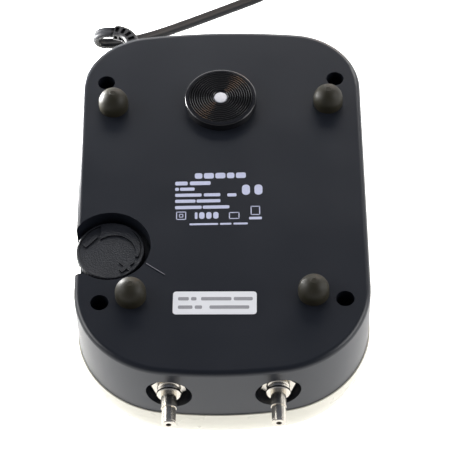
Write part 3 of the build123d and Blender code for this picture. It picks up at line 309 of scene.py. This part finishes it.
FINISHES = {
    "base_black": dict(colour=linear(25, 28, 35), roughness=0.32, grain=0.006 * MM, grain_size=0.35 * MM,
                       mottle=0.12, mottle_size=20 * MM),
    "cover_ivory": dict(colour=linear(232, 228, 212), roughness=0.28, grain=0.004 * MM, mottle=0.03),
    "seal_grey": dict(colour=linear(70, 70, 70), roughness=0.8, grain=0.01 * MM),
    "screw_steel": dict(colour=linear(170, 168, 164), roughness=0.34, metallic=1.0, mottle=0.12,
                        mottle_size=3 * MM, grain=0.004 * MM, grain_size=0.3 * MM),
    "foot_rubber": dict(colour=linear(42, 39, 28), roughness=0.5, specular=0.3, grain=0.02 * MM,
                        grain_size=0.5 * MM, mottle=0.2, mottle_size=5 * MM),
    "cap_black": dict(colour=linear(22, 22, 25), roughness=0.2, specular=0.6, grain=0.003 * MM, mottle=0.1),
    "felt_white": dict(colour=linear(226, 226, 230), roughness=0.95, grain=0.08 * MM, grain_size=0.35 * MM,
                       mottle=0.1, mottle_size=1.5 * MM),
    "dial_black": dict(colour=linear(30, 32, 37), roughness=0.38, grain=0.16 * MM, grain_size=0.5 * MM,
                       mottle=0.3, mottle_size=4 * MM),
    "pot_grey": dict(colour=linear(80, 80, 84), roughness=0.5, grain=0.01 * MM),
    "shaft_nylon": dict(colour=linear(222, 220, 212), roughness=0.4, grain=0.005 * MM),
    "board_green": dict(colour=linear(34, 96, 58), roughness=0.3, grain=0.004 * MM, mottle=0.2,
                        mottle_size=4 * MM),
    "component_black": dict(colour=linear(44, 44, 44), roughness=0.45, grain=0.01 * MM),
    "label_white": dict(colour=linear(234, 235, 238), roughness=0.5, grain=0.005 * MM, mottle=0.03),
    "outlet_chrome": dict(colour=linear(222, 216, 204), roughness=0.24, metallic=1.0, mottle=0.06,
                          mottle_size=4 * MM, grain=0.003 * MM, grain_size=0.4 * MM),
    "core_steel": dict(colour=linear(110, 110, 114), roughness=0.5, metallic=1.0, grain=0.02 * MM,
                       grain_size=0.5 * MM, stretch=(0.05, 0.05, 1), mottle=0.2, mottle_size=1 * MM),
    "bobbin_plastic": dict(colour=linear(224, 220, 208), roughness=0.45, grain=0.006 * MM),
    "copper": dict(colour=linear(190, 106, 64), roughness=0.3, metallic=1.0, grain=0.06 * MM,
                   grain_size=0.35 * MM, stretch=(1, 0.03, 0.03), mottle=0.15, mottle_size=1 * MM),
    "arm_plastic": dict(colour=linear(206, 202, 190), roughness=0.5, grain=0.008 * MM),
    "magnet_grey": dict(colour=linear(58, 58, 60), roughness=0.45, metallic=0.6, grain=0.01 * MM),
    "bracket_steel": dict(colour=linear(178, 178, 180), roughness=0.32, metallic=1.0, grain=0.004 * MM),
    "diaphragm_rubber": dict(colour=linear(34, 34, 34), roughness=0.6, grain=0.01 * MM),
    "chamber_grey": dict(colour=linear(122, 126, 132), roughness=0.45, grain=0.008 * MM),
    "hose_rubber": dict(colour=linear(190, 188, 180), roughness=0.4, grain=0.004 * MM),
    "wire_sheath": dict(colour=linear(40, 40, 42), roughness=0.4, grain=0.005 * MM),
    "cord_black": dict(colour=linear(20, 21, 24), roughness=0.5, specular=0.2, grain=0.01 * MM,
                       grain_size=0.6 * MM, mottle=0.12, mottle_size=15 * MM),
    "relief_black": dict(colour=linear(30, 30, 32), roughness=0.42, grain=0.008 * MM),
    "tie_black": dict(colour=linear(46, 46, 48), roughness=0.7, grain=0.06 * MM, grain_size=0.5 * MM),
    "plug_black": dict(colour=linear(34, 34, 36), roughness=0.42, grain=0.012 * MM, grain_size=0.4 * MM),
    # painted shade: a near-black material for the walls of the dial's marks and the floors of the cap's
    # grooves, where shadow falls
    "painted_shade": dict(colour=linear(6, 6, 8), roughness=0.8, specular=0.1, mottle=0.2,
                        mottle_size=1 * MM),
    "pin_nickel": dict(colour=linear(206, 202, 190), roughness=0.2, metallic=1.0, mottle=0.05),
}
MATERIALS = {slot: make_material(slot, **finish) for slot, finish in FINISHES.items()}


def dress(piece, slot):
    piece.data.materials.clear()
    piece.data.materials.append(MATERIALS[slot])


for entry in frame["record"]["subparts"]:
    dress(frame["nodes"][entry["node"]], entry["material_slot"])
dress(cord, "cord_black")


# ------------------------------------------------------------------ crisp mouldings
SHARP = math.radians(28)  # a fold sharper than this shows as an edge
WELD, FLAT = 0.001 * MM, math.radians(0.5)


def finish_edges(piece, bevel=0.0):
    """Sharp edges stay sharp, and a small bevel wears them where one is given."""
    piece.data.set_sharp_from_angle(angle=SHARP)
    if bevel:
        worn = piece.modifiers.new("worn_edges", "BEVEL")
        worn.width, worn.segments = bevel, 2
        worn.limit_method, worn.angle_limit = "ANGLE", SHARP
        worn.use_clamp_overlap = True
        worn.harden_normals = True


def crisp_piece(name, node, body, slot, bevel=0.0):
    """The node's own shape with its corners kept sharp, in a piece that stands for it.
    With no body, it is left joined to no body."""
    work = bmesh.new()
    work.from_mesh(frame["nodes"][node].data)
    bmesh.ops.remove_doubles(work, verts=work.verts, dist=WELD)
    bmesh.ops.dissolve_limit(work, angle_limit=FLAT, verts=work.verts, edges=work.edges)
    mesh = bpy.data.meshes.new(name)
    work.to_mesh(mesh)
    work.free()
    for polygon in mesh.polygons:
        polygon.use_smooth = True
    piece = bpy.data.objects.new(name, mesh)
    bpy.context.scene.collection.objects.link(piece)
    finish_edges(piece, bevel)
    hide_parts(node)
    if body:
        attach(piece, body)
    dress(piece, slot)
    return piece


# Each diaphragm is clamped at its bead by the chamber and moves with the arm at its disc; here its piece is
# only baked in place and joined to no body.
for word, side in (("left", -1), ("right", 1)):
    membrane = crisp_piece(word + "_membrane", word + "_diaphragm", None, "diaphragm_rubber")
    low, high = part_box(word + "_diaphragm")
    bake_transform(membrane)

dial_disc = crisp_piece("dial_disc", "flow_dial", "dial", "dial_black", 0.06 * MM)
for name, node, body, slot, bevel in (
        ("nuts", "outlet_nuts", HOUSING, "outlet_chrome", 0.15 * MM),
        ("washers", "outlet_washers", HOUSING, "outlet_chrome", 0.08 * MM),
        ("cover_screws", "housing_screws", HOUSING, "screw_steel", 0.08 * MM)):
    crisp_piece(name, node, body, slot, bevel)


def on_axis(node, height):
    """The point at this height on a round node's upright axis."""
    low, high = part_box(node)
    return Vector(((low.x + high.x) / 2, (low.y + high.y) / 2, height))


def shade_steps(piece, slot, centre, reach):
    """The upright faces of the marks within reach of the centre get a second, near-black material: painted
    shade standing for the shadow on their walls.
    """
    piece.data.materials.append(MATERIALS[slot])
    for polygon in piece.data.polygons:
        away = polygon.center - centre
        if abs(polygon.normal.z) < 0.5 and math.hypot(away.x, away.y) < reach:
            polygon.material_index = 1


MARKS_REACH = 11.5 * MM
# painted shade: the walls of the dial's marks are made near-black
shade_steps(dial_disc, "painted_shade", on_axis("flow_dial", 0), MARKS_REACH)


def lathe_piece(name, node, body, slot, profile, at, sides=96, forward=False):
    """A closed profile of (radius, height) pairs in millimetres, turned about an upright axis,
    or about one that points to -Y."""
    vertices, faces = [], []
    for side in range(sides):
        angle = 2 * math.pi * side / sides
        for radius, height in profile:
            across, beside = radius * MM * math.cos(angle), radius * MM * math.sin(angle)
            along = height * MM
            vertices.append(at + (Vector((across, -along, beside)) if forward
                                  else Vector((across, beside, along))))
    count = len(profile)
    for side in range(sides):
        here, there = side * count, (side + 1) % sides * count
        for i in range(count):
            after = (i + 1) % count
            faces.append((here + i, there + i, there + after, here + after))
    piece = mesh_piece(name, vertices, faces)
    work = bmesh.new()
    work.from_mesh(piece.data)
    bmesh.ops.remove_doubles(work, verts=work.verts, dist=WELD)
    bmesh.ops.recalc_face_normals(work, faces=work.faces)
    work.to_mesh(piece.data)
    work.free()
    piece.data.set_sharp_from_angle(angle=SHARP)
    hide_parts(node)
    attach(piece, body)
    dress(piece, slot)
    return piece


RIDGE_WIDE = 0.56  # share of the pitch


def ridges(first, last, count, top, deep, steps=6):
    """Round-topped rings between two radii, with flat-bottomed grooves between them."""
    pitch = (last - first) / count
    points = []
    for ridge in range(count):
        for step in range(steps + 1):
            share = step / steps
            rise = math.sqrt(max(0.0, 1 - (2 * share - 1) ** 2))
            place = ridge + (1 - RIDGE_WIDE) / 2 + RIDGE_WIDE * share
            points.append((first + pitch * place, top - deep + deep * rise))
    return points


CAP_TOP, CAP_RIM, CAP_ROUND, CAP_HOLE = 3.5, 13.3, 0.6, 2.75
SKIRT_OUT, SKIRT_IN, SKIRT_LOW, PLATE_LOW = 9.2, 8.0, -4.0, 2.2
RIDGES, RIDGES_FROM, RIDGES_TO, RIDGE_HIGH = 10, 3.2, 11.9, 0.6
RIDGE_DROP = 0.02  # the ridges' tops, below the rim
# faces of the cap between these depths are groove floors, which carry painted shade
GROOVE_HIGH, GROOVE_LOW = 0.4, 0.75  # depths between which a face is a groove's floor


def cap_profile():
    """Section of the filter cap, from its skirt round the rim, over the ridges and into the hole."""
    outside = [(SKIRT_OUT, 0.0), (CAP_RIM - 0.15, 0.0), (CAP_RIM, 0.15)]
    for step in range(7):
        angle = math.radians(90 * step / 6)
        outside.append((CAP_RIM - CAP_ROUND + CAP_ROUND * math.cos(angle),
                        CAP_TOP - CAP_ROUND + CAP_ROUND * math.sin(angle)))
    face = list(reversed(ridges(RIDGES_FROM, RIDGES_TO, RIDGES, CAP_TOP - RIDGE_DROP, RIDGE_HIGH)))
    hole = [(CAP_HOLE + 0.2, CAP_TOP), (CAP_HOLE, CAP_TOP - 0.2), (CAP_HOLE, PLATE_LOW)]
    inside = [(SKIRT_IN, PLATE_LOW), (SKIRT_IN, SKIRT_LOW), (SKIRT_OUT, SKIRT_LOW)]
    return outside + [(RIDGES_TO, CAP_TOP)] + face + hole + inside


def felt_profile(radius=7.5, nub=2.45, low=-6.5, shoulder=1.85, crown=3.42, steps=6):
    """Section of the felt: a thick disc with a crowned nub that fills the cap's hole."""
    top = [(nub * math.cos(math.radians(90 * step / steps)),
            crown - 0.35 + 0.35 * math.sin(math.radians(90 * step / steps))) for step in range(steps)]
    return [(0.01, low), (radius, low), (radius, shoulder - 0.3), (radius - 0.3, shoulder), (nub, shoulder),
            *top, (0.01, crown)]


cap = lathe_piece("cap", "filter_cap", "filter_cap_body", "cap_black", cap_profile(),
                  on_axis("filter_cap", DECK_Z), sides=144)
# painted shade: the floors of its grooves get a near-black material
cap.data.materials.append(MATERIALS["painted_shade"])
cap_middle = on_axis("filter_cap", DECK_Z)
for polygon in cap.data.polygons:
    away = polygon.center - cap_middle
    deep = CAP_TOP - away.z / MM
    if GROOVE_HIGH < deep < GROOVE_LOW and math.hypot(away.x, away.y) < RIDGES_TO * MM:
        polygon.material_index = 1


def nozzle_profile():
    """Section of an outlet as (radius, distance ahead of the housing's centre): the inner barb, flange,
    thread, collar, stepped barrel and tip."""
    inside = [(0.95, 57.0), (1.7, 57.0), (2.0, 58.5), (2.0, 65.2), (5.8, 65.2), (5.8, 67.6), (3.55, 67.6)]
    thread = []
    for crest in range(7):
        root = 67.8 + crest
        thread += [(3.55, root), (4.0, root + 0.5), (4.0, root + 0.65)]
    collar = [(3.55, 75.2), (4.2, 75.3), (4.2, 76.0), (3.9, 76.3), (2.7, 76.3)]
    barrel = [(2.7, 81.6), (2.55, 81.75), (2.3, 81.8), (2.3, 82.0), (2.5, 82.1), (2.5, 87.1), (2.4, 87.2)]
    tip = [(2.4, 87.7), (2.1, 88.0), (0.95, 88.0)]
    return inside + thread + collar + barrel + tip


for word in ("left", "right"):
    low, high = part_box(word + "_outlet_nozzle")
    axis_at = Vector(((low.x + high.x) / 2, CENTRE_Y, (low.z + high.z) / 2))
    lathe_piece(word + "_outlet", word + "_outlet_nozzle", HOUSING, "outlet_chrome", nozzle_profile(),
                axis_at, sides=64, forward=True)
lathe_piece("felt", "filter_felt", HOUSING, "felt_white", felt_profile(),
            on_axis("filter_felt", DECK_Z), sides=48)


# ------------------------------------------------------------------ printed marks
INK_AND_HIGHLIGHT_THICK = 0.02 * MM


def rounded_bar(x0, x1, y0, y1, corner, steps=4):
    """Points round a bar with rounded corners, anticlockwise, in millimetres."""
    corner = min(corner, (x1 - x0) / 2.01, (y1 - y0) / 2.01)
    points = []
    for cx, cy, start in ((x1 - corner, y1 - corner, 0), (x0 + corner, y1 - corner, 90),
                          (x0 + corner, y0 + corner, 180), (x1 - corner, y0 + corner, 270)):
        for step in range(steps + 1):
            angle = math.radians(start + 90 * step / steps)
            points.append((cx + corner * math.cos(angle), cy + corner * math.sin(angle)))
    return points


def bars_piece(name, bars, level, turn=0.0, about=(0.0, 0.0)):
    """Thin bars of ink, or of painted highlight, lying on a level surface, as one piece."""
    vertices, faces = [], []
    cos_turn, sin_turn = math.cos(math.radians(turn)), math.sin(math.radians(turn))
    for bar in bars:
        outline = rounded_bar(*bar)
        base = len(vertices)
        for z in (level, level + INK_AND_HIGHLIGHT_THICK):
            for x, y in outline:
                dx, dy = x - about[0], y - about[1]
                place = housing_point(about[0] + dx * cos_turn - dy * sin_turn,
                                      about[1] + dx * sin_turn + dy * cos_turn, 0)
                vertices.append((place.x, place.y, z))
        count = len(outline)
        faces.append(tuple(base + count + i for i in range(count)))
        faces.append(tuple(base + i for i in reversed(range(count))))
        for i in range(count):
            after = (i + 1) % count
            faces.append((base + i, base + after, base + count + after, base + count + i))
    piece = mesh_piece(name, vertices, faces, smooth=False)
    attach(piece, HOUSING)
    return piece


def word_bars(x0, x1, y, height, words, gap=0.8):
    """A line of blank word-shaped bars between two ends."""
    room = x1 - x0 - gap * (len(words) - 1)
    bars, x = [], x0
    for share in words:
        wide = room * share / sum(words)
        bars.append((x, x + wide, y - height / 2, y + height / 2, height * 0.3))
        x += wide + gap
    return bars


def frame_bars(x0, x1, y0, y1, line=0.35):
    """A blank square drawn as four thin bars."""
    return [(x0, x1, y0, y0 + line, 0.05), (x0, x1, y1 - line, y1, 0.05),
            (x0, x0 + line, y0, y1, 0.05), (x1 - line, x1, y0, y1, 0.05)]


DECK_PRINT = (
    word_bars(-9.6, 8.9, 7.9, 2.5, (3, 4, 4, 3, 4), gap=0.55)
    + word_bars(-16.7, -3.9, 4.6, 1.7, (3, 5))
    + word_bars(-16.7, -9.7, 2.0, 1.4, (1, 4), gap=0.4)
    + word_bars(-16.7, -0.4, -0.7, 1.4, (8, 5))
    + word_bars(2.1, 5.4, -0.9, 1.4, (1,))
    + word_bars(-16.7, -0.4, -3.4, 1.4, (6, 7), gap=0.4)
    + word_bars(-16.7, 2.8, -6.2, 1.4, (8, 8), gap=0.4)
    + frame_bars(-16.3, -12.7, -11.6, -8.0)
    + frame_bars(-15.3, -13.7, -10.6, -9.0)
    + word_bars(-9.6, -1.1, -9.9, 3.0, (1, 2, 2, 2), gap=0.6)
    + frame_bars(2.6, 6.4, -11.6, -8.6)
    + word_bars(9.8, 14.4, -11.4, 1.1, (1,))
    + frame_bars(10.4, 13.8, -10.0, -6.0)
    + word_bars(7.4, 14.8, 1.3, 4.6, (1, 1), gap=1.6)
    + word_bars(-11.5, 9.3, -13.7, 0.8, (10, 4, 5), gap=0.7)
)
STICKER_PRINT = (
    word_bars(-15.4, -9.0, -45.9, 1.4, (4, 2)) + word_bars(-7.4, 10.6, -45.9, 1.4, (8, 5))
    + word_bars(-15.4, -7.0, -49.4, 1.4, (4, 2)) + word_bars(-4.4, 9.4, -49.4, 1.4, (1,))
)
deck_print = bars_piece("deck_print", DECK_PRINT, DECK_Z)
STICKER_TURN, STICKER_MIDDLE = -1.0, (-2.6, -47.6)
sticker_print = bars_piece("sticker_print", STICKER_PRINT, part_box("rating_label")[1].z,
                           turn=STICKER_TURN, about=STICKER_MIDDLE)
# the raised line beside the dial: its lit top is a painted highlight, a pale bar on the rib
INDEX_RISE, INDEX_TURN, INDEX_MIDDLE = 0.2 * MM, -37.0, (-23.4, -32.9)
index_line = bars_piece("index_line", [(-27.6, -19.2, -33.0, -32.75, 0.1)], DECK_Z + INDEX_RISE,
                        turn=INDEX_TURN, about=INDEX_MIDDLE)
for piece, ink_or_highlight, colour, roughness in (
        (index_line, "index_highlight", linear(120, 120, 126), 0.4),
        (deck_print, "deck_ink", linear(196, 200, 224), 0.5),
        (sticker_print, "sticker_ink", linear(150, 150, 154), 0.6)):
    piece.data.materials.append(
        make_material(ink_or_highlight, colour=colour, roughness=roughness, mottle=0.1, mottle_size=1 * MM))


# ------------------------------------------------------------------ floor and light
FLOOR_HALF, PAPER_GLOW = 3.0, 0.7


def make_floor():
    vertices = [(x * FLOOR_HALF, y * FLOOR_HALF, 0) for x, y in ((-1, -1), (1, -1), (1, 1), (-1, 1))]
    floor = mesh_piece("floor", vertices, [(0, 1, 2, 3)], smooth=False)
    paper = make_material("floor_paper", colour=(0.9, 0.9, 0.9), roughness=0.9, mottle=0.01,
                          mottle_size=0.3)
    # the paper is lit from behind, as on a product table
    shader = paper.node_tree.nodes["Principled BSDF"]
    shader.inputs["Emission Color"].default_value = (1, 1, 1, 1)
    shader.inputs["Emission Strength"].default_value = PAPER_GLOW
    floor.data.materials.append(paper)


def make_softbox(name, at, aim, size, power, tint=(1, 1, 1)):
    data = bpy.data.lights.new(name, "AREA")
    data.shape = "RECTANGLE"
    data.size, data.size_y = size
    data.energy = power
    data.color = tint
    lamp = bpy.data.objects.new(name, data)
    bpy.context.scene.collection.objects.link(lamp)
    lamp.location = at
    lamp.rotation_euler = (Vector(aim) - Vector(at)).to_track_quat("-Z", "Y").to_euler()


def make_world():
    """A studio that is bright near the horizon and dark overhead, where the glossy base mirrors it."""
    world = bpy.data.worlds.new("studio")
    world.use_nodes = True
    tree = world.node_tree
    new, join = tree.nodes.new, tree.links.new
    sky = tree.nodes["Background"]
    sky.inputs["Strength"].default_value = 1.0
    direction = new("ShaderNodeTexCoord")
    split = new("ShaderNodeSeparateXYZ")
    ramp = new("ShaderNodeValToRGB")
    join(direction.outputs["Generated"], split.inputs["Vector"])
    join(split.outputs["Z"], ramp.inputs["Fac"])
    join(ramp.outputs["Color"], sky.inputs["Color"])
    stops = ramp.color_ramp.elements
    stops[0].position, stops[0].color = 0.0, (0.8, 0.8, 0.8, 1)
    stops[1].position, stops[1].color = 0.6, (0.10, 0.11, 0.14, 1)
    middle = stops.new(0.25)
    middle.color = (0.5, 0.5, 0.52, 1)
    bpy.context.scene.world = world


make_floor()
make_world()
make_softbox("back_softbox", (0.15, 1.0, 0.55), (0, 0.05, 0), (1.3, 0.4), 8)
make_softbox("left_softbox", (-0.95, 0.2, 0.6), (0, 0.03, 0.03), (0.8, 0.6), 7)
make_softbox("right_softbox", (0.95, 0.0, 0.6), (0, 0, 0.03), (0.8, 0.6), 6)
# a small lamp close to the cord's fold, and a warm one far back on the right
make_softbox("cord_lamp", (-0.12, 0.105, 0.045), (-0.045, 0.098, 0.036), (0.05, 0.04), 0.9)
make_softbox("warm_lamp", (0.35, 1.2, 0.3), (0, 0.04, 0.05), (0.3, 0.15), 1.3, tint=(1.0, 0.62, 0.36))
bpy.context.scene.view_settings.view_transform = "Standard"
